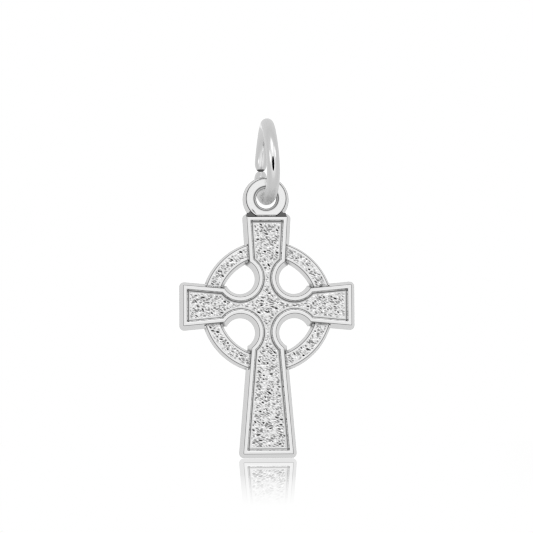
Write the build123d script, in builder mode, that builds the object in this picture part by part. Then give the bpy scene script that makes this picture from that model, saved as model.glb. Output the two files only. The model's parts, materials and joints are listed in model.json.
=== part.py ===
from build123d import *
import math
import os

# Silver charm: a celtic cross cast with its own eyelet, hung from a split jump ring.
# Millimetres. The face looks along -Y and +Z is up. The origin is the inside top of the
# jump ring, where a chain passes through it.

# Jump ring: one turn of round wire with a fine split low on its far side
ring_od = 6.05
wire_d = 0.90
ring_yaw = 9.0            # degrees that the ring's near half turns towards +X
split_angle = 9.5         # degrees below the ring's middle, on the far side
split_gap = 0.10
split_round = 0.22

# Outline of the rim's front edge: four flared arms, measured from the middle of the cross
upper_reach = 6.16
side_reach = 5.83
lower_reach = 10.28
upper_end_w = 2.82
side_end_w = 2.84
lower_end_w = 3.46
upper_root_w = 2.08
side_root_w = 1.76
lower_root_w = 1.72
corner_round = 0.06
arm_start = 0.50          # how far past the middle each arm starts, hidden in the other arms

# Round notches between the arms
notch_offset = 1.88       # across and up from the middle of the cross to a notch's centre
notch_r = 1.31

# Thickness of the casting and the spread of its walls from the front to the back
thickness = 1.50
wall_spread = 0.30
back_round = 0.10

# Raised rim round the sunk floor
rim_top_w = 0.20
rim_slope_w = 0.12
rim_round = 0.05
recess_depth = 0.35

# Nimbus, the ring behind the arms
nimbus_inner_r = 3.50
nimbus_w = 0.95
nimbus_set_back = 0.40    # from the rim's front to the nimbus's front
nimbus_drop = 0.07        # its centre lies a little below the middle of the cross
nimbus_spread = 0.20
nimbus_round = 0.08

# Eyelet, whose hole runs from front to back
wire_play = 0.235         # radial gap between the wire and the hole
hole_round = 0.14
eyelet_wall = 0.71
eyelet_t = 1.10
eyelet_spread = 0.23
eyelet_round = 0.06
eyelet_overlap = 0.09     # how far its front circle reaches past the upper arm's end

# Worked out from the sizes above
wire_r = wire_d / 2
ring_r = ring_od / 2 - wire_r
ring_z = wire_r - ring_r
hole_z = ring_z - ring_r
hole_r = wire_r + wire_play
eyelet_r = hole_r + eyelet_wall
cross_z = hole_z - (upper_reach + eyelet_r - eyelet_overlap)
front_y = -thickness / 2
back_y = thickness / 2
crossing_w = 2 * notch_offset - notch_r

# Local x is +X, local y is +Z, and the normal points out of the face
front_plane = Plane(origin=(0, front_y, cross_z), x_dir=(1, 0, 0), z_dir=(0, -1, 0))


def arm(reach, end_w, root_w, direction, inset):
    """One flared arm along a unit vector (x, z), its sides and its end moved in by the inset."""
    dx, dz = direction
    flare = (end_w - root_w) / (2 * reach)
    side_inset = inset * math.hypot(1, flare)
    corners = []
    for along, side in ((-arm_start, 1), (reach - inset, 1), (reach - inset, -1), (-arm_start, -1)):
        half_w = side * (root_w / 2 + flare * along - side_inset)
        corners.append((along * dx - half_w * dz, along * dz + half_w * dx))
    Polygon(*corners, align=None)


def cross_block(inset, depth, spread, end_round):
    """Four arms from the face backwards, with a round notch cut into each inner corner.

    The outline is moved in by the inset, and its walls spread by that much over the depth.
    """
    taper = math.degrees(math.atan(spread / depth))
    arms = (
        (upper_reach, upper_end_w, upper_root_w, (0, 1)),
        (lower_reach, lower_end_w, lower_root_w, (0, -1)),
        (side_reach, side_end_w, side_root_w, (1, 0)),
        (side_reach, side_end_w, side_root_w, (-1, 0)),
    )
    with BuildPart() as block:
        for arm_size in arms:
            with BuildSketch(front_plane) as arm_outline:
                arm(*arm_size, inset)
                if end_round:
                    end_corners = arm_outline.vertices().sort_by_distance((0, 0, 0))[-2:]
                    fillet(end_corners, end_round)
            extrude(amount=-depth, taper=-taper)
        with BuildSketch(front_plane):
            Rectangle(crossing_w, crossing_w)
        extrude(amount=-depth)
        with BuildSketch(front_plane):
            with GridLocations(2 * notch_offset, 2 * notch_offset, 2, 2):
                Circle(notch_r + inset)
        extrude(amount=-depth, taper=taper, mode=Mode.SUBTRACT)
    return block.part


with BuildPart() as celtic_cross:
    # Body of the cross, whose walls spread towards the back
    add(cross_block(0, thickness, wall_spread, corner_round))

    # Nimbus: a ring turned about the axis that runs from front to back
    nimbus_z = cross_z - nimbus_drop
    nimbus_front_y = front_y + nimbus_set_back
    nimbus_outer_r = nimbus_inner_r + nimbus_w
    with BuildSketch(Plane.XY.offset(nimbus_z)) as nimbus_profile:
        with BuildLine():
            Polyline(
                (nimbus_inner_r, nimbus_front_y),
                (nimbus_outer_r, nimbus_front_y),
                (nimbus_outer_r + nimbus_spread, back_y),
                (nimbus_inner_r - nimbus_spread, back_y),
                close=True,
            )
        make_face()
        nimbus_corners = nimbus_profile.vertices().group_by(Axis.Y)[0]
        fillet(nimbus_corners, nimbus_round)
    revolve(axis=Axis((0, 0, nimbus_z), (0, 1, 0)))

    # Eyelet: a thinner ring on the end of the upper arm, centred in the thickness
    with BuildSketch(Plane.XY.offset(hole_z)) as eyelet_profile:
        with BuildLine():
            Polyline(
                (hole_r, -eyelet_t / 2),
                (eyelet_r, -eyelet_t / 2),
                (eyelet_r + eyelet_spread, eyelet_t / 2),
                (hole_r, eyelet_t / 2),
                close=True,
            )
        make_face()
        hole_corners = eyelet_profile.vertices().group_by(Axis.X)[0]
        fillet(hole_corners, hole_round)
        outer_corners = eyelet_profile.vertices().sort_by(Axis.X)[-2:]
        fillet(outer_corners, eyelet_round)
    revolve(axis=Axis((0, 0, hole_z), (0, 1, 0)))

    # Sunk floor inside the rim, with sloping sides
    add(cross_block(rim_top_w, recess_depth, -rim_slope_w, 0), mode=Mode.SUBTRACT)

    # Soft edges along both sides of the rim and round the back
    rim_edges = celtic_cross.edges().group_by(Axis.Y)[0]
    fillet(rim_edges, rim_round)
    back_edges = celtic_cross.edges().group_by(Axis.Y)[-1]
    fillet(back_edges, back_round)

celtic_cross.part.label = "celtic_cross"

# Plane of the jump ring: it stands upright, turned by its yaw from the plane X = 0
yaw = math.radians(ring_yaw)
far_side = Vector(-math.sin(yaw), math.cos(yaw), 0)
ring_normal = Vector(math.cos(yaw), math.sin(yaw), 0)
ring_axis = Axis((0, 0, ring_z), ring_normal)
split_arc = math.degrees(split_gap / ring_r)

with BuildPart() as jump_ring:
    # The wire starts at one side of the split and runs round to the other
    start_angle = -split_angle + split_arc / 2
    outwards = far_side.rotate(Axis((0, 0, 0), ring_normal), start_angle)
    along_wire = ring_normal.cross(outwards)
    section_plane = Plane(origin=(0, 0, ring_z), x_dir=outwards, z_dir=along_wire)
    with BuildSketch(section_plane):
        with Locations((ring_r, 0)):
            Circle(wire_r)
    revolve(axis=ring_axis, revolution_arc=360 - split_arc)
    wire_ends = jump_ring.faces().filter_by(GeomType.PLANE)
    fillet(wire_ends.edges(), split_round)

jump_ring.part.label = "jump_ring"

os.makedirs("parts", exist_ok=True)
export_step(celtic_cross.part, "parts/celtic_cross.step")
export_step(jump_ring.part, "parts/jump_ring.step")
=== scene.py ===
import json
import math

import bmesh
import bpy
import numpy as np
from mathutils import Matrix, Vector, noise
from mathutils.geometry import delaunay_2d_cdt


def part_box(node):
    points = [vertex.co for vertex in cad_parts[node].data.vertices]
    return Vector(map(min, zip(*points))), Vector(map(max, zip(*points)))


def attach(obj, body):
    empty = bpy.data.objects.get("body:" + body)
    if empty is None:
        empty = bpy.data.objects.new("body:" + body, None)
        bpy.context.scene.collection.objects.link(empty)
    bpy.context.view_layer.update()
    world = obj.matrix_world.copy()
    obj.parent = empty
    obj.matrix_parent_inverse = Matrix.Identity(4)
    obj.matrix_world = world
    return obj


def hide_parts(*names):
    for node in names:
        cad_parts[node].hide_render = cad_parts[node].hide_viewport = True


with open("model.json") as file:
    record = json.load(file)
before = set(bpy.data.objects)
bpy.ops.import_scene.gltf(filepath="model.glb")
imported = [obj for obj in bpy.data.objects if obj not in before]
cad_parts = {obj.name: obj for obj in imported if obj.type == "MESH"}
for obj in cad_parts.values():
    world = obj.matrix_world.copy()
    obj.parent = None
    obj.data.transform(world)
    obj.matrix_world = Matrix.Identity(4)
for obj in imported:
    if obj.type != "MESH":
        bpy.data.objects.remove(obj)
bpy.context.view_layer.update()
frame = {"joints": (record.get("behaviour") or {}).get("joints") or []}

# Lengths are in millimetres up to the moment a mesh is made, and metres after that.
MM = 0.001

# Outline of the rim's front edge, measured from the middle of the cross
upper_reach = 6.16
side_reach = 5.83
lower_reach = 10.28
upper_end_w = 2.82
side_end_w = 2.84
lower_end_w = 3.46
upper_root_w = 2.08
side_root_w = 1.76
lower_root_w = 1.72
corner_round = 0.06
inner_corner_round = 0.04
notch_offset = 1.88       # across and up from the middle of the cross to a notch's centre
notch_r = 1.31
notch_corner_round = 0.04

# Direction in degrees from +X, reach, width at the end and width at the root of each arm
ARMS = (
    (0, side_reach, side_end_w, side_root_w),
    (90, upper_reach, upper_end_w, upper_root_w),
    (180, side_reach, side_end_w, side_root_w),
    (270, lower_reach, lower_end_w, lower_root_w),
)

# Section through the rim and the wall
thickness = 1.50
wall_spread = 0.30
back_round = 0.10
rim_top_w = 0.24
rim_slope_w = 0.12
rim_inner_round = 0.07
rim_outer_round = 0.06
recess_depth = 0.35
cove_round = 0.05
floor_margin = 0.06       # smooth strip between the foot of the slope and the stippled floor
back_margin = 0.25
WALL_ROWS = (0.08, 0.28, 0.75, 0.85)      # shares of the thickness where the wall has a row of points

# Nimbus, the ring behind the arms
nimbus_inner_r = 3.50
nimbus_w = 0.95
nimbus_set_back = 0.40
nimbus_drop = 0.07
nimbus_spread = 0.20
nimbus_round = 0.08
nimbus_margin = 0.09      # smooth strip beside each edge of its stippled front

# Eyelet
hole_r = 0.685
eyelet_wall = 0.71
eyelet_t = 1.10
eyelet_spread = 0.23
eyelet_hole_round = 0.24
eyelet_round = 0.06
eyelet_overlap = 0.09
eyelet_shift = (-0.05, -0.04)     # how far it is cast off its place, in x and z

# Short scratch low on the left of the eyelet's face
nick_place = (-0.86, -0.90)       # from the eyelet's middle, in x and z
nick_size = (0.24, 0.032)
nick_slant = -50.0        # degrees from +X

# Web of solder under the eyelet, dark with painted shade
web_half_w = 1.40
web_rise = 0.27           # above the end of the upper arm
web_drop = 0.25           # below it
web_taper_high = 0.05
web_taper_low = 0.12
web_front = -0.46
solder_back = 0.35

# Fillets of dark solder where the nimbus meets the arms: distance from the nimbus's middle,
# distance beyond the rim's front edge, radius and darkness
SOLDER_FILLETS = (
    (3.44, 0.20, 0.10, 0.58),
    (4.53, 0.18, 0.07, 0.20),
)
fillet_set_back = 0.05    # behind the nimbus's front

# Jump ring
wire_r = 0.4485           # just under the CAD's 0.45, so that the wire stays inside the CAD's faceted box
ring_r = 2.575
ring_top = 0.45
ring_yaw = 9.0            # degrees, as in the CAD
mean_yaw = 7.0            # degrees at the middle of its height, where its slight twist starts
yaw_twist = 4.0           # degrees more at its foot, and fewer at its top
ring_shift = 0.035        # how far it hangs off centre, in x
split_angle = 9.5
split_gap = 0.06
split_rounds = ((0.70, 0.30), (0.60, 0.28))     # length and depth at the upper end, then at the lower
satin_reach = 0.9         # how far up from the ring's foot its wire is worn satin

# Stippled grain of the floor and the nimbus: fine waves and half as high broad ones
grain_length = 0.17
grain_width = 0.080
patch_length = 0.42
patch_width = 0.28
grain_slant = -22.0       # degrees from +X
grain_height = 0.050
stipple_fade = 0.12       # how far from its edge it reaches full height

# Pits in the grain, with the least and the most of what differs from pit to pit
pit_spacing = 0.42
pit_depth = 0.080
pit_half_length = (0.07, 0.15)
pit_half_width = (0.034, 0.046)
pit_depth_share = (0.40, 0.80)
bold_share = 0.34         # share of the pits that are bold, which are wider and deeper
bold_half_width = (0.042, 0.057)
bold_depth_share = (0.92, 1.0)
pit_slant = -28.0         # degrees from +X on average
pit_slant_spread = 18.0

# Darkness, from 0 where the silver is bright to 1 where it is darkest; some of it is painted shade, as
# noted
grain_dark = 0.18         # at the grain's middle height
grain_contrast = 1.45
most_grain_dark = 0.75
pit_border_light = 0.8
corner_dark = 0.30        # all round the floor
slope_dark = 0.26
side_shade_dark = 0.18     # painted shade, added on slopes that look down and to the left
arm_joint_dark = 0.72     # on the arms' wall, beside the nimbus
nimbus_joint_dark = 0.80  # on the nimbus, beside the arms
arm_end_shade = 0.95       # painted shade on the end of the upper arm, under the eyelet
eyelet_joint_dark = 0.85
# painted shade on the eyelet's side, just above the arm
eyelet_wedge_shade = 0.90
nick_dark = 0.85
# painted shade on the solder web under the eyelet
web_shade = 0.90
wire_tip_shade = 0.95      # painted shadow and painted dark reflection on the wire's upper end at the split

# Dark lines along edges: darkness in the middle, and width
slope_foot_line = (0.75, 0.035)
rim_edge_line = (0.55, 0.03)
nimbus_edge_line = (0.62, 0.035)
eyelet_edge_line = (0.92, 0.055)
hole_edge_line = (0.85, 0.052)

# Mesh spacing, and counts of points
outline_step = 0.055
corner_count = 7
notch_corner_count = 5
notch_count = 44
stipple_step = 0.040
nimbus_steps = 600
eyelet_steps = 240
wire_sides = 48
wire_step = 0.08
sharp_angle = 38.0        # degrees between faces from which the casting is shaded with an edge

# White tent: brightness from straight behind the object, at 0, to straight in front of it, at 1
TENT_TONES = (
    (0.0, 1.0), (0.004, 1.0), (0.02, 0.68), (0.30, 0.64),
    (0.50, 0.60), (0.75, 0.62), (0.93, 0.80), (1.0, 0.91),
)

# Soft boxes, one high in front and a smaller one at each side: direction from the object,
# degrees from its middle to where it is full and to where it ends, and strength
SOFT_BOXES = (
    ((0.0, -1.0, 0.80), 6, 26, 0.46),
    ((-1.0, -0.8, 0.1), 6, 16, 0.45),
    ((1.0, -0.9, 0.5), 6, 16, 0.45),
)

# Floor's mirror image, in metres along y: none at the first place, and at its strongest at the second
mirror_reach = (-0.133, -0.088)
mirror_strength = 0.58

CAMERA_AZIMUTH = math.radians(-2.3)
CAMERA_ELEVATION = math.radians(-3.0)

# Places worked out from the frame: the swing's axis runs through the middle of the eyelet's hole
hole_z = frame["joints"][0]["pos_m"][2] / MM
ring_z = ring_top - ring_r
eyelet_r = hole_r + eyelet_wall
cross_z = hole_z - (upper_reach + eyelet_r - eyelet_overlap)
nimbus_outer_r = nimbus_inner_r + nimbus_w
front_y = -thickness / 2
back_y = thickness / 2
nimbus_front_y = front_y + nimbus_set_back
foot_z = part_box("celtic_cross")[0].z / MM


def smooth_step(low, high, values):
    """0 below low, 1 above high and an even S between them."""
    share = np.clip((values - low) / (high - low), 0, 1)
    return share * share * (3 - 2 * share)


def bell(distance, height, width):
    """A bell curve's height at a distance from its middle, nearly 0 beyond twice its width."""
    return height * np.exp(-(distance / width) ** 2)


def along_and_across(points, slant):
    """How far (x, z) points lie along a direction, given in radians from +X, and across it."""
    along = points[:, 0] * math.cos(slant) + points[:, 1] * math.sin(slant)
    across = points[:, 1] * math.cos(slant) - points[:, 0] * math.sin(slant)
    return along, across


def arc(centre, radius, start, end, count):
    """Points round an arc between two angles in radians, both ends included."""
    angles = np.linspace(start, end, count)
    return np.array(centre) + radius * np.stack([np.cos(angles), np.sin(angles)], 1)


def line(start, end, count):
    """Points inside a straight stretch, without its two ends."""
    share = np.linspace(0, 1, count + 2)[1:-1, None]
    return np.array(start) * (1 - share) + np.array(end) * share


def meets_circle(flare, level, middle_x, radius):
    """The larger x where a line meets a circle round (middle_x, 0).

    The line passes through (0, level) and rises by the flare.
    """
    a = 1 + flare * flare
    b = flare * level - middle_x
    c = middle_x ** 2 + level ** 2 - radius ** 2
    return (-b + math.sqrt(b * b - a * c)) / a


def half_arm(reach, end_w, root_w, offset):
    """One side of an arm that lies along +X: from the middle of its end to the middle of the notch.

    The offset moves the whole outline outwards.
    """
    flare = (end_w - root_w) / (2 * reach)
    stretch = math.hypot(1, flare)
    side_normal = math.pi / 2 + math.atan(flare)

    round_r = max(inner_corner_round, corner_round + offset)
    corner_x = reach + offset - round_r
    corner = (corner_x, root_w / 2 + flare * corner_x + (offset - round_r) * stretch)
    corner_points = arc(corner, round_r, 0, side_normal, corner_count)

    notch = np.array((notch_offset, notch_offset))
    bore = notch_r - offset
    small = notch_corner_round
    level = root_w / 2 + (offset - small) * stretch - notch_offset
    foot_x = meets_circle(flare, level, notch_offset, bore + small)
    foot = np.array((foot_x, level + notch_offset + flare * foot_x))
    towards = math.atan2(notch[1] - foot[1], notch[0] - foot[0])
    foot_points = arc(foot, small, side_normal, towards, notch_corner_count)
    bore_points = arc(notch, bore, towards - math.pi, -0.75 * math.pi, notch_count)

    end_count = round(end_w / 2 / outline_step)
    side_count = round((reach - notch_offset - 0.8 * notch_r) / outline_step)
    return np.concatenate([
        [(reach + offset, 0)],
        line((reach + offset, 0), corner_points[0], end_count),
        corner_points,
        line(corner_points[-1], foot_points[0], side_count),
        foot_points,
        bore_points[1:],
    ])


def turned(points, degrees):
    """Points turned about the middle of the cross."""
    angle = math.radians(degrees)
    turn = np.array(((math.cos(angle), math.sin(angle)), (-math.sin(angle), math.cos(angle))))
    return points @ turn


def outline(offset):
    """The closed outline of the cross moved outwards by the offset, with as many points at every offset."""
    loop = []
    for degrees, reach, end_w, root_w in ARMS:
        near = half_arm(reach, end_w, root_w, offset)
        far = near[::-1] * (1, -1)
        loop.append(turned(np.concatenate([far[:-1], near[:-1]]), degrees))
    return np.concatenate(loop)


def depth_inside(points):
    """How far each point lies inside the outline of the rim's front edge."""
    crossing = notch_offset - notch_r / 2
    inside = crossing - np.abs(points).max(1)
    for degrees, reach, end_w, root_w in ARMS:
        local = turned(points, -degrees)
        flare = (end_w - root_w) / (2 * reach)
        along, across = local[:, 0], np.abs(local[:, 1])
        side = (root_w / 2 + flare * along - across) / math.hypot(1, flare)
        inside = np.maximum(inside, np.minimum(np.minimum(side, reach - along), along + crossing))
    for x in (-notch_offset, notch_offset):
        for z in (-notch_offset, notch_offset):
            inside = np.minimum(inside, np.hypot(points[:, 0] - x, points[:, 1] - z) - notch_r)
    return inside


def rounded_path(corners, closed=False):
    """A path through (x, y, radius, steps) corners, each rounded by its radius in that many steps."""
    path = []
    count = len(corners)
    for i, (x, y, radius, steps) in enumerate(corners):
        here = np.array((x, y), float)
        if radius == 0 or (not closed and i in (0, count - 1)):
            path.append(here)
            continue
        before = np.array(corners[i - 1][:2]) - here
        after = np.array(corners[(i + 1) % count][:2]) - here
        before /= np.linalg.norm(before)
        after /= np.linalg.norm(after)
        half = math.acos(np.clip(before @ after, -1, 1)) / 2
        middle = here + (before + after) / np.linalg.norm(before + after) * radius / math.sin(half)
        start = here + before * radius / math.tan(half) - middle
        end = here + after * radius / math.tan(half) - middle
        sweep = math.pi - 2 * half
        turn = math.copysign(sweep, start[0] * end[1] - start[1] * end[0])
        first = math.atan2(start[1], start[0])
        path.extend(arc(middle, radius, first, first + turn, steps + 1))
    return np.array(path)


def scattered_pits():
    """Rows of x, z, half length, half width, slant in radians and depth share for pits over the face."""
    random = np.random.default_rng(5)
    across = np.arange(-1.1 * lower_reach, 1.1 * lower_reach, pit_spacing)
    x, z = np.meshgrid(across, across)
    count = x.size
    stray = 0.95 * pit_spacing
    bold = random.random(count) < bold_share
    return np.stack([
        x.ravel() + random.uniform(0, stray, count),
        z.ravel() + random.uniform(0, stray, count),
        random.uniform(*pit_half_length, count),
        np.where(bold, random.uniform(*bold_half_width, count), random.uniform(*pit_half_width, count)),
        random.normal(math.radians(pit_slant), math.radians(pit_slant_spread), count),
        np.where(bold, random.uniform(*bold_depth_share, count), random.uniform(*pit_depth_share, count)),
    ], 1)


PITS = scattered_pits()


def waves(along, across, length, width, level):
    """Smooth noise at places along and across the grain, cut at a level of its third direction."""
    return np.array([noise.noise(Vector((a / length, b / width, level))) for a, b in zip(along, across)])


def stipple(points):
    """Height of the cast grain and its tarnish at (x, z) points measured from the middle.

    The tarnish lies in the hollows and fills the pits, whose borders are burnished.
    """
    along, across = along_and_across(points, math.radians(grain_slant))
    grain = waves(along, across, grain_length, grain_width, 3.0)
    grain = grain + 0.5 * waves(along, across, patch_length, patch_width, 7.0)
    height = grain_height * grain
    tarnish_and_shade = grain_dark - grain_contrast * grain
    pits = np.zeros(len(points))
    for x, z, half_length, half_width, turn, share in PITS:
        near = np.flatnonzero(np.hypot(points[:, 0] - x, points[:, 1] - z) < 2 * half_length)
        lengthwise, crosswise = along_and_across(points[near] - (x, z), turn)
        away = np.hypot(lengthwise / half_length, crosswise / half_width)     # 1 at the pit's edge
        height[near] -= bell(away, pit_depth * share, 1)
        tarnish_and_shade[near] -= bell(away - 1.8, pit_border_light * share, 0.45)
        pits[near] = np.maximum(pits[near], share * (1 - smooth_step(0.7, 1.25, away)))
    return height, np.maximum(np.clip(tarnish_and_shade, 0, most_grain_dark), pits)


def new_object(name, data):
    """An object of the scene that holds the data."""
    made = bpy.data.objects.new(name, data)
    bpy.context.scene.collection.objects.link(made)
    return made


def add_values(mesh, name, values):
    """A named value at each point of the mesh, for its material to read."""
    attribute = mesh.attributes.new(name, "FLOAT", "POINT")
    attribute.data.foreach_set("value", np.asarray(values, np.float32))


def new_piece(name, points, faces, patina_and_shade, material):
    """A smooth-shaded mesh object from points in millimetres."""
    mesh = bpy.data.meshes.new(name)
    mesh.from_pydata([tuple(p) for p in np.asarray(points) * MM], [], faces)
    add_values(mesh, "patina_and_shade", patina_and_shade)
    bm = bmesh.new()
    bm.from_mesh(mesh)
    bmesh.ops.recalc_face_normals(bm, faces=bm.faces)
    bmesh.ops.triangulate(bm, faces=bm.faces)
    bm.to_mesh(mesh)
    bm.free()
    mesh.shade_smooth()
    mesh.materials.append(material)
    return new_object(name, mesh)


def ring_faces(rings, count, closed):
    """Quads between successive rings of a grid, each ring closed on itself."""
    faces = []
    for ring in range(rings if closed else rings - 1):
        start = ring * count
        after = (ring + 1) % rings * count
        for i in range(count):
            j = (i + 1) % count
            faces.append((start + i, start + j, after + j, after + i))
    return faces


def beside_nimbus(points):
    """1 where the arms' wall meets the nimbus, at (x, z) points on it, and 0 away from there."""
    from_middle = np.hypot(points[:, 0], points[:, 1] + nimbus_drop)
    inside = smooth_step(nimbus_inner_r - 0.34, nimbus_inner_r - 0.20, from_middle)
    return inside * (1 - smooth_step(nimbus_outer_r + 0.04, nimbus_outer_r + 0.14, from_middle))


def cross_body(material):
    """The four arms: stippled floor, rim, wall and flat back, as one closed mesh."""
    slope_foot = -(rim_top_w + rim_slope_w)
    section = rounded_path([
        (slope_foot - floor_margin, recess_depth, 0, 0),
        (slope_foot, recess_depth, cove_round, 4),
        (slope_foot + 0.4 * rim_slope_w, 0.6 * recess_depth, 0, 0),
        (-rim_top_w, 0, rim_inner_round, 7),
        (0, 0, rim_outer_round, 6),
        *((share * wall_spread, share * thickness, 0, 0) for share in WALL_ROWS),
        (wall_spread, thickness, back_round, 4),
        (wall_spread - back_margin, thickness, 0, 0),
    ])
    joints_end = 0.8 * thickness      # the last of the wall and the back have no dark joints
    step = 0.1
    middle = outline(0)
    outwards = (outline(step) - middle) / step
    # Painted shade: how much each slope looks down and to the left
    shaded_side = np.clip(0.9 * outwards[:, 1] + 0.45 * outwards[:, 0], 0, 1)
    nimbus_joint = beside_nimbus(middle)
    upper_end = (outwards[:, 1] > 0.9) & (middle[:, 1] > upper_reach - 0.1)
    # Painted shade on the end of the upper arm, under the eyelet
    shade_under_eyelet = upper_end * (1 - smooth_step(eyelet_r - 0.04, eyelet_r + 0.03, np.abs(middle[:, 0])))
    points, patina_and_shade = [], []
    for offset, depth in section:
        loop = outline(offset)
        points.extend((x, front_y + depth, cross_z + z) for x, z in loop)
        row_darkening = np.zeros(len(loop))
        if offset < -rim_top_w and depth > 0.03:
            foot_line = bell(offset - slope_foot, *slope_foot_line)
            row_darkening = np.maximum(slope_dark + side_shade_dark * shaded_side, foot_line)
        elif depth < 0.1:
            row_darkening += bell(offset + 0.005, *rim_edge_line)
        if offset > 0 and depth < joints_end:
            row_darkening = np.maximum(row_darkening, arm_joint_dark * nimbus_joint)
        if offset > -0.04 and depth < joints_end:
            row_darkening = np.maximum(row_darkening, arm_end_shade * shade_under_eyelet)
        patina_and_shade.extend(row_darkening)
    count = len(loop)
    faces = ring_faces(len(section), count, False)
    faces.append(tuple(range((len(section) - 1) * count, len(section) * count)))

    # Lattice of floor points, joined to the inner loop by a constrained triangulation
    inset = -section[0][0]
    columns = np.arange(-side_reach, side_reach, stipple_step)
    rows = np.arange(-lower_reach, upper_reach, stipple_step * math.sqrt(3) / 2)
    grid_x, grid_z = np.meshgrid(columns, rows)
    grid_x = grid_x + (np.arange(len(rows)) % 2)[:, None] * stipple_step / 2
    lattice = np.stack([grid_x.ravel(), grid_z.ravel()], 1)
    lattice = lattice[depth_inside(lattice) > inset + 0.6 * stipple_step]
    loop = outline(-inset)
    flat = [Vector(p) for p in np.concatenate([loop, lattice])]
    rim_edges = [(i, (i + 1) % count) for i in range(count)]
    _, _, triangles, source, _, _ = delaunay_2d_cdt(flat, rim_edges, [], 1, 1e-7)

    height, tarnish_and_shade = stipple(lattice)
    inside = depth_inside(lattice) - inset
    fade = smooth_step(0, stipple_fade, inside)
    base = len(points)
    for (x, z), h in zip(lattice, height * fade):
        points.append((x, front_y + recess_depth - h, cross_z + z))
    corner = corner_dark * (1 - smooth_step(0, 0.05, inside))
    patina_and_shade.extend(np.maximum(tarnish_and_shade * fade, corner))
    index = [s[0] if s[0] < count else base + s[0] - count for s in source]
    faces.extend(tuple(index[i] for i in triangle) for triangle in triangles)
    return new_piece("celtic_cross_cast", points, faces, patina_and_shade, material)


def revolved(name, section, middle_z, steps, front, shade, material, shift=(0, 0)):
    """A ring turned about the front-to-back axis from a closed (radius, y) section.

    The front gives the two radii between which its face is stippled, or None. The shift is in x and z.
    """
    angles = np.arange(steps) / steps * 2 * math.pi
    points, patina_and_shade = [], []
    for radius, y in section:
        ring = np.stack([np.cos(angles), np.sin(angles)], 1) * radius
        place = ring + (shift[0], middle_z - cross_z + shift[1])
        lift = np.zeros(steps)
        row_darkening = shade(radius, y, place)
        if front and front[0] < radius < front[1] and y < 0:
            height, tarnish_and_shade = stipple(place)
            fade = smooth_step(0, stipple_fade, min(radius - front[0], front[1] - radius))
            lift = height * fade
            row_darkening = np.maximum(row_darkening, tarnish_and_shade * fade)
        points.extend((x, y - h, cross_z + z) for (x, z), h in zip(place, lift))
        patina_and_shade.extend(row_darkening)
    return new_piece(name, points, ring_faces(len(section), steps, True), patina_and_shade, material)


def nimbus(material):
    """The ring behind the arms, stippled in front like the floor."""
    outer_wall, inner_wall = [], []
    for share in (0.15, 0.7):     # where the edge's dark line has ended, and where the dark joints end
        y = nimbus_front_y + share * (back_y - nimbus_front_y)
        outer_wall.append((nimbus_outer_r + share * nimbus_spread, y, 0, 0))
        inner_wall.append((nimbus_inner_r - share * nimbus_spread, y, 0, 0))
    path = rounded_path([
        (nimbus_outer_r, nimbus_front_y, nimbus_round, 5),
        *outer_wall,
        (nimbus_outer_r + nimbus_spread, back_y, back_round, 4),
        (nimbus_inner_r - nimbus_spread, back_y, back_round, 4),
        *inner_wall[::-1],
        (nimbus_inner_r, nimbus_front_y, nimbus_round, 5),
    ], closed=True)
    strip = np.arange(nimbus_inner_r + nimbus_round, nimbus_outer_r - nimbus_round, stipple_step)[1:]
    section = np.concatenate([path, np.stack([strip, np.full(len(strip), nimbus_front_y)], 1)])
    stippled = (nimbus_inner_r + nimbus_margin, nimbus_outer_r - nimbus_margin)

    def shade(radius, y, place):
        to_edge = min(abs(radius - nimbus_inner_r - 0.01), abs(radius - nimbus_outer_r + 0.01))
        edge_line = bell(to_edge, *nimbus_edge_line) * (y < nimbus_front_y + 0.1)
        wall = wall_spread * (y - front_y) / thickness
        from_wall = np.abs(depth_inside(place) + wall)
        reach = 0.07 if nimbus_inner_r < radius < nimbus_outer_r else 0.16
        joint = bell(from_wall, nimbus_joint_dark, reach) * (y < back_y - 0.3)
        return np.maximum(edge_line, joint)

    return revolved("nimbus", section, cross_z - nimbus_drop, nimbus_steps, stippled, shade, material)


def nick(place):
    """How dark the scratch in the eyelet's face is at (x, z) points."""
    middle = np.add(eyelet_shift, nick_place) + (0, hole_z - cross_z)
    along, across = along_and_across(place - middle, math.radians(nick_slant))
    away = np.hypot(along / nick_size[0], across / nick_size[1])
    return nick_dark * (1 - smooth_step(0.6, 1.4, away))


def eyelet(material):
    """The plain polished ring on the end of the upper arm."""
    half = eyelet_t / 2
    near = 0.12               # share of the way back where the edge's dark line has ended
    face_rows = [(radius, -half, 0, 0) for radius in np.linspace(hole_r + 0.28, eyelet_r - 0.09, 9)]
    section = rounded_path([
        (hole_r, -half, eyelet_hole_round, 12),
        *face_rows,
        (eyelet_r, -half, eyelet_round, 5),
        (eyelet_r + near * eyelet_spread, (2 * near - 1) * half, 0, 0),
        (eyelet_r + eyelet_spread, half, eyelet_round, 5),
        (hole_r, half, eyelet_hole_round, 8),
    ], closed=True)

    def shade(radius, y, place):
        outer = bell(radius - eyelet_r - 0.01, *eyelet_edge_line) * (y < 0.1 - half)
        inner = bell(radius - hole_r - 0.162, *hole_edge_line) * (y < 0.2 - half)
        wall = wall_spread * (y - front_y) / thickness
        above_arm = place[:, 1] - upper_reach - wall
        on_side = radius > eyelet_r - 0.01 and y < half - 0.1
        # Painted shade on the eyelet's side, just above the arm
        wedge = eyelet_wedge_shade * (1 - smooth_step(0.20, 0.28, above_arm)) * on_side
        joint = eyelet_joint_dark * (1 - smooth_step(0.04, 0.13, above_arm))
        joint = np.maximum(joint, nick(place)) * (y < 0)
        return np.maximum(np.maximum(max(outer, inner), wedge), joint)

    return revolved("eyelet", section, hole_z, eyelet_steps, None, shade, material, eyelet_shift)


def prism(shape, front, back):
    """Points and faces of a closed prism from a convex (x, z) loop between two depths."""
    count = len(shape)
    points = [(x, y, cross_z + z) for y in (front, back) for x, z in shape]
    faces = ring_faces(2, count, False)
    faces.extend((tuple(range(count)), tuple(range(count, 2 * count))))
    return points, faces


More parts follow.
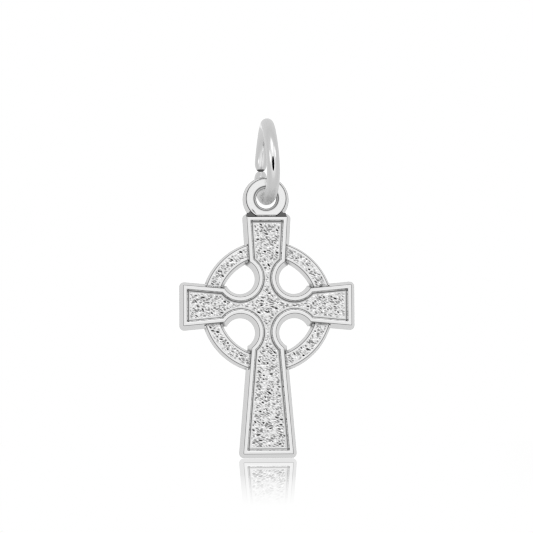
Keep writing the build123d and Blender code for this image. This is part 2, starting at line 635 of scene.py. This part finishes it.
def solder_shapes():
    """Convex (x, z) loops of the solder in the corners, with each one's front and its darkness.

    It lies under the eyelet, where its darkness is painted shade, and where the nimbus meets the arms.
    """
    low, high = upper_reach - web_drop, upper_reach + web_rise
    left, right = eyelet_shift[0] - web_half_w, eyelet_shift[0] + web_half_w
    web = (
        (left + web_taper_low, low), (right - web_taper_low, low), (right, upper_reach),
        (right - web_taper_high, high), (left + web_taper_high, high), (left, upper_reach),
    )
    # The web's darkness is painted shade
    shapes = [(np.array(web), web_front, web_shade)]
    for degrees, reach, end_w, root_w in ARMS:
        flare = (end_w - root_w) / (2 * reach)
        nimbus_x, nimbus_y = turned(np.array(((0, -nimbus_drop),)), -degrees)[0]
        for radius, beyond, size, dark in SOLDER_FILLETS:
            for side in (1, -1):
                # Where the line beside the arm meets the circle round the nimbus's middle
                level = root_w / 2 + beyond - side * nimbus_y
                along = meets_circle(flare, level, nimbus_x, radius)
                across = side * (root_w / 2 + beyond + flare * along)
                middle = turned(np.array(((along, across),)), degrees)[0]
                loop = arc(middle, size, 0, 2 * math.pi, 17)[:-1]
                shapes.append((loop, nimbus_front_y + fillet_set_back, dark))
    return shapes


def solder(material):
    """The solder in the corners, with its darkness, as one mesh of closed prisms."""
    points, faces, patina_and_shade = [], [], []
    for shape, front, dark in solder_shapes():
        base = len(points)
        more, sides = prism(shape, front, solder_back)
        points.extend(more)
        patina_and_shade.extend([dark] * len(more))
        faces.extend(tuple(base + i for i in side) for side in sides)
    return new_piece("solder", points, faces, patina_and_shade, material)


def darken_solder(mesh):
    """Give the solder its darkness again where the union made new corners."""
    slack = 0.005
    points = np.empty(3 * len(mesh.vertices))
    mesh.vertices.foreach_get("co", points)
    points = points.reshape(-1, 3) / MM
    patina_and_shade = np.empty(len(points), np.float32)
    attribute = mesh.attributes["patina_and_shade"]
    attribute.data.foreach_get("value", patina_and_shade)
    place = points[:, [0, 2]] - (0, cross_z)
    for shape, front, dark in solder_shapes():
        inside = (points[:, 1] > front - slack) & (points[:, 1] < solder_back + slack)
        for corner, side in zip(shape, np.roll(shape, -1, 0) - shape):
            beyond = side[0] * (place[:, 1] - corner[1]) - side[1] * (place[:, 0] - corner[0])
            inside &= beyond > -slack * np.hypot(*side)
        patina_and_shade[inside] = np.maximum(patina_and_shade[inside], dark)
    attribute.data.foreach_set("value", patina_and_shade)


def without_flakes(mesh):
    """Weld the corners that lie on each other, and delete the folded flakes that the union leaves there."""
    bm = bmesh.new()
    bm.from_mesh(mesh)
    bmesh.ops.remove_doubles(bm, verts=bm.verts, dist=1e-8)
    flakes = [f for f in bm.faces if sum(len(e.link_faces) > 2 for e in f.edges) > 1]
    bmesh.ops.delete(bm, geom=flakes, context="FACES")
    bm.to_mesh(mesh)
    bm.free()


def united(body, *parts):
    """The parts fused into the body, as one closed mesh whose flat back is satin."""
    for part in parts:
        union = body.modifiers.new(part.name, "BOOLEAN")
        union.operation = "UNION"
        union.solver = "MANIFOLD"
        union.object = part
    mesh = bpy.data.meshes.new_from_object(body.evaluated_get(bpy.context.evaluated_depsgraph_get()))
    body.modifiers.clear()
    body.data = mesh
    for part in parts:
        bpy.data.objects.remove(part)
    without_flakes(mesh)
    darken_solder(mesh)
    add_values(mesh, "satin", [smooth_step(back_y - 0.02, back_y, v.co.y / MM) for v in mesh.vertices])
    mesh.shade_smooth()
    mesh.set_sharp_from_angle(angle=math.radians(sharp_angle))
    return body


def wire_place(angle):
    """The wire's middle at an angle round the ring, and the directions outwards and across the ring.

    0 is the far side, a quarter turn is the top and half a turn is the near side.
    """
    yaw = math.radians(mean_yaw - yaw_twist * math.sin(angle))
    far_side = np.array((-math.sin(yaw), math.cos(math.radians(ring_yaw)), 0))
    across = np.array((math.cos(yaw), math.sin(yaw), 0))
    outwards = far_side * math.cos(angle) + np.array((0, 0, math.sin(angle)))
    return outwards * ring_r + (ring_shift, 0, ring_z), outwards, across


def jump_ring(material):
    """One turn of round wire with softly rounded ends at its split."""
    half_gap = split_gap / 2 / ring_r
    start = math.radians(-split_angle) + half_gap
    length = 2 * math.pi * ring_r - split_gap
    (upper, upper_inset), (lower, lower_inset) = split_rounds
    ease = 1 - np.cos(np.linspace(0, math.pi / 2, 24))
    middle = np.linspace(upper, length - lower, round(length / wire_step))[1:-1]
    along = np.concatenate([upper * ease, middle, length - lower * ease[::-1]])
    to_end = np.minimum(along, length - along)
    reach = np.where(along < length / 2, upper, lower)
    depth = np.where(along < length / 2, upper_inset, lower_inset)
    inset = depth * (1 - np.sqrt(1 - np.maximum(0, 1 - to_end / reach) ** 2))
    # Painted shadow and painted dark reflection round the upper end, at the split
    painted_tip_shade = wire_tip_shade * (1 - smooth_step(0.04, 0.11, to_end)) * (along < length / 2)
    points, patina_and_shade, satin = [], [], []
    sides = np.linspace(0, 2 * math.pi, wire_sides, endpoint=False)
    for s, shrink, tip_shade in zip(along, inset, painted_tip_shade):
        angle = start + s / ring_r
        centre, outwards, across = wire_place(angle)
        radius = wire_r - shrink
        for turn in sides:
            points.append(centre + radius * (math.cos(turn) * outwards + math.sin(turn) * across))
        patina_and_shade.extend([tip_shade] * wire_sides)
        above_foot = ring_r * (1 + math.sin(angle))
        satin.extend([1 - smooth_step(0.6 * satin_reach, satin_reach, above_foot)] * wire_sides)
    faces = ring_faces(len(along), wire_sides, False)
    faces.append(tuple(range(wire_sides)))
    faces.append(tuple(range(len(points) - wire_sides, len(points))))
    piece = new_piece("jump_ring_wire", points, faces, patina_and_shade, material)
    add_values(piece.data, "satin", satin)
    return piece


def add_node(tree, kind, **values):
    """A shader node with its properties and its sockets' values set by name."""
    node = tree.nodes.new(kind)
    for name, value in values.items():
        if name in node.inputs:
            node.inputs[name].default_value = value
        else:
            setattr(node, name, value)
    return node


def empty_tree(owner, output_kind):
    """The cleared node tree of a material or a world, with its output node."""
    owner.use_nodes = True
    tree = owner.node_tree
    tree.nodes.clear()
    return tree, add_node(tree, output_kind)


def map_range(tree, value, source, target=(0.0, 1.0), **values):
    """A value taken from the source range to the target range, and held at their ends."""
    node = add_node(tree, "ShaderNodeMapRange", **values)
    for name, number in zip(("From Min", "From Max", "To Min", "To Max"), (*source, *target)):
        node.inputs[name].default_value = number
    tree.links.new(value, node.inputs["Value"])
    return node.outputs[0]


def worked_out(tree, operation, first, second):
    """The result of a Math node on two values."""
    node = add_node(tree, "ShaderNodeMath", operation=operation)
    tree.links.new(first, node.inputs[0])
    tree.links.new(second, node.inputs[1])
    return node.outputs[0]


def mixed(tree, share, value, number):
    """A value that turns into the number as the share goes from 0 to 1."""
    node = add_node(tree, "ShaderNodeMix", data_type="FLOAT")
    tree.links.new(share, node.inputs[0])
    tree.links.new(value, node.inputs[2])
    node.inputs[3].default_value = number
    return node.outputs[0]


def mixed_shaders(tree, share, first, second, output):
    """As the output's surface, a shader that turns into the second one as the share goes from 0 to 1."""
    node = add_node(tree, "ShaderNodeMixShader")
    for socket, given in zip(node.inputs, (share, first.outputs[0], second.outputs[0])):
        tree.links.new(given, socket)
    tree.links.new(node.outputs[0], output.inputs["Surface"])


def silver(name, tone, darkest_tone, roughness, cavity_reach, brushed):
    """Bright silver, darkened by the mesh's patina and painted shade, and by painted shade in cavities
    narrower than the cavity reach.

    Where the mesh is satin it is rougher, with fine brushed lines as dark as the brushed share.
    """
    material = bpy.data.materials.new(name)
    tree, output = empty_tree(material, "ShaderNodeOutputMaterial")
    shader = add_node(tree, "ShaderNodeBsdfPrincipled", Metallic=1.0)
    tree.links.new(shader.outputs[0], output.inputs["Surface"])
    place = add_node(tree, "ShaderNodeTexCoord").outputs["Object"]
    patina_and_shade = add_node(tree, "ShaderNodeAttribute", attribute_name="patina_and_shade").outputs["Fac"]
    satin = add_node(tree, "ShaderNodeAttribute", attribute_name="satin").outputs["Fac"]

    # Darkening: the mesh's own patina and painted shade, painted shade from occlusion in cavities, and the
    # brushed lines
    openness = add_node(tree, "ShaderNodeAmbientOcclusion", samples=12, only_local=True,
                        Distance=cavity_reach * MM)
    cavity = map_range(tree, openness.outputs["AO"], (0.62, 0.12), (0.0, 0.8),
                       interpolation_type="SMOOTHSTEP")
    stretch = add_node(tree, "ShaderNodeMapping", Scale=(700.0, 700.0, 14000.0), Rotation=(0.0, 0.15, 0.0))
    tree.links.new(place, stretch.inputs["Vector"])
    hairs = add_node(tree, "ShaderNodeTexNoise", Scale=1.0, Detail=3.0)
    tree.links.new(stretch.outputs[0], hairs.inputs["Vector"])
    lines = map_range(tree, hairs.outputs["Fac"], (0.42, 0.75), (0.0, brushed))
    tarnish_and_shade = worked_out(tree, "MAXIMUM", patina_and_shade, cavity)
    tarnish_and_shade = worked_out(tree, "MAXIMUM", tarnish_and_shade, worked_out(tree, "MULTIPLY", lines, satin))

    # Slightly cloudy tone and roughness
    cloud = add_node(tree, "ShaderNodeTexNoise", Scale=900.0, Detail=3.0)
    tree.links.new(place, cloud.inputs["Vector"])
    clean = map_range(tree, cloud.outputs["Fac"], (0.0, 1.0), (tone - 0.02, tone + 0.02))
    brightness = mixed(tree, tarnish_and_shade, clean, darkest_tone)
    grey = add_node(tree, "ShaderNodeCombineColor")
    for channel in grey.inputs:
        tree.links.new(brightness, channel)
    tree.links.new(grey.outputs[0], shader.inputs["Base Color"])
    polished = map_range(tree, cloud.outputs["Fac"], (0.0, 1.0), roughness)
    tree.links.new(mixed(tree, satin, polished, 0.50), shader.inputs["Roughness"])

    # Faint unevenness of the polish
    wear = add_node(tree, "ShaderNodeTexNoise", Scale=2600.0, Detail=2.0)
    tree.links.new(place, wear.inputs["Vector"])
    bump = add_node(tree, "ShaderNodeBump", Strength=0.15, Distance=0.000004)
    tree.links.new(wear.outputs["Fac"], bump.inputs["Height"])
    tree.links.new(bump.outputs[0], shader.inputs["Normal"])
    return material


def floor_material():
    """Glossy white acrylic: white, with a mirror image that fades towards the viewer."""
    material = bpy.data.materials.new("white_acrylic")
    tree, output = empty_tree(material, "ShaderNodeOutputMaterial")
    white = add_node(tree, "ShaderNodeEmission", Color=(1, 1, 1, 1), Strength=1.0)
    mirror = add_node(tree, "ShaderNodeBsdfGlossy", Color=(1, 1, 1, 1), Roughness=0.0)
    split = add_node(tree, "ShaderNodeSeparateXYZ")
    tree.links.new(add_node(tree, "ShaderNodeTexCoord").outputs["Object"], split.inputs[0])
    fade = map_range(tree, split.outputs["Y"], mirror_reach, (0.0, mirror_strength))
    mixed_shaders(tree, fade, white, mirror, output)
    return material


def black_material():
    """A plain black that reflects nothing."""
    material = bpy.data.materials.new("black_card")
    tree, output = empty_tree(material, "ShaderNodeOutputMaterial")
    black = add_node(tree, "ShaderNodeEmission", Color=(0, 0, 0, 1), Strength=1.0)
    tree.links.new(black.outputs[0], output.inputs["Surface"])
    return material


def studio_world():
    """A white tent round the object: soft tones that change with the direction, white to the camera."""
    world = bpy.data.worlds.new("studio")
    bpy.context.scene.world = world
    tree, output = empty_tree(world, "ShaderNodeOutputWorld")
    direction = add_node(tree, "ShaderNodeTexCoord").outputs["Generated"]
    split = add_node(tree, "ShaderNodeSeparateXYZ")
    tree.links.new(direction, split.inputs[0])
    ramp = add_node(tree, "ShaderNodeValToRGB")
    ramp.color_ramp.interpolation = "EASE"
    for _ in range(len(TENT_TONES) - 2):
        ramp.color_ramp.elements.new(0.5)
    for element, (position, tone) in zip(ramp.color_ramp.elements, TENT_TONES):
        element.position = position
        element.color = (tone, tone, tone, 1)
    tree.links.new(map_range(tree, split.outputs["Y"], (1.0, -1.0)), ramp.inputs[0])

    total = ramp.outputs[0]
    for box_direction, full, end, strength in SOFT_BOXES:
        towards = add_node(tree, "ShaderNodeVectorMath", operation="DOT_PRODUCT")
        towards.inputs[1].default_value = Vector(box_direction).normalized()
        tree.links.new(direction, towards.inputs[0])
        edges = (math.cos(math.radians(end)), math.cos(math.radians(full)))
        glow = map_range(tree, towards.outputs["Value"], edges, (0.0, strength),
                         interpolation_type="SMOOTHSTEP")
        total = worked_out(tree, "ADD", total, glow)

    tent = add_node(tree, "ShaderNodeBackground", Color=(1, 1, 1, 1))
    tree.links.new(total, tent.inputs["Strength"])
    white = add_node(tree, "ShaderNodeBackground", Color=(1, 1, 1, 1), Strength=1.0)
    path = add_node(tree, "ShaderNodeLightPath")
    mixed_shaders(tree, path.outputs["Is Camera Ray"], tent, white, output)


def towards_camera():
    """The direction from the object to the camera."""
    a, e = CAMERA_AZIMUTH, CAMERA_ELEVATION
    return Vector((math.sin(a) * math.cos(e), -math.cos(a) * math.cos(e), math.sin(e)))


def camera_axes():
    """The directions to the right, up and back towards the camera, before its roll."""
    right = Vector((math.cos(CAMERA_AZIMUTH), math.sin(CAMERA_AZIMUTH), 0))
    back = towards_camera()
    return right, back.cross(right), back


def studio_floor():
    """A plain white glossy floor just under the foot."""
    half = 2.0                # metres
    z = (foot_z - 0.005) * MM
    corners = [(-half, -half, z), (half, -half, z), (half, half, z), (-half, half, z)]
    mesh = bpy.data.meshes.new("floor")
    mesh.from_pydata(corners, [], [(0, 1, 2, 3)])
    mesh.materials.append(floor_material())
    floor = new_object("floor", mesh)
    floor.visible_glossy = False
    floor.visible_diffuse = False


def dark_card():
    """A small black card between the jump ring and the viewer, seen only as a dark slit in its wire."""
    half_width = 0.19
    half_height = 0.64
    distance = 0.3            # from the wire
    height_angle = 190.4      # degrees round the ring from its far side, a little below its middle
    right, up, back = camera_axes()
    centre = Vector(wire_place(math.radians(height_angle))[0]) + back * (wire_r + distance)
    angles = np.linspace(0, 2 * math.pi, 33)[:-1]
    corners = [centre + right * half_width * math.cos(a) + up * half_height * math.sin(a) for a in angles]
    mesh = bpy.data.meshes.new("dark_card")
    mesh.from_pydata([c * MM for c in corners], [], [tuple(range(len(corners)))])
    mesh.materials.append(black_material())
    card = new_object("dark_card", mesh)
    card.visible_camera = False
    card.visible_diffuse = False
    card.visible_shadow = False


def photo_camera():
    """The photograph's view: a long lens, slightly from the left and below."""
    roll = math.radians(0.38)
    distance = 180.0
    pixels_per_mm = 14.4
    image_side = 533
    target_pixel = (267.3, 305.65)    # middle of the cross, from the image's top left corner
    reach = pixels_per_mm * distance

    right, up, back = camera_axes()
    target = Vector((0, 0, cross_z))
    axes = Matrix((right, up, back)).transposed().to_4x4()
    across = math.atan((target_pixel[0] - image_side / 2) / reach)
    down = math.atan((target_pixel[1] - image_side / 2) / reach)
    aim = Matrix.Rotation(-roll, 4, "Z") @ Matrix.Rotation(across, 4, "Y") @ Matrix.Rotation(down, 4, "X")

    data = bpy.data.cameras.new("camera")
    data.sensor_width = 36.0
    data.lens = reach / image_side * data.sensor_width
    data.clip_start = 0.01
    camera = new_object("camera", data)
    camera.matrix_world = Matrix.Translation((target + back * distance) * MM) @ axes @ aim
    bpy.context.scene.camera = camera


cast_silver = silver("cast_silver", tone=0.93, darkest_tone=0.05, roughness=(0.10, 0.20),
                     cavity_reach=0.14, brushed=0.32)
wire_silver = silver("wire_silver", tone=0.93, darkest_tone=0.05, roughness=(0.12, 0.18),
                     cavity_reach=0.05, brushed=0.0)
cross = united(cross_body(cast_silver), nimbus(cast_silver), solder(cast_silver), eyelet(cast_silver))
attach(cross, "pendant")
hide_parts("celtic_cross")
wire = jump_ring(wire_silver)
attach(wire, "ring")
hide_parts("jump_ring")

studio_world()
studio_floor()
dark_card()
photo_camera()
bpy.context.scene.view_settings.view_transform = "Standard"
bpy.context.scene.cycles.filter_width = 1.1
bpy.context.scene.cycles.max_bounces = 16
bpy.context.scene.cycles.glossy_bounces = 16
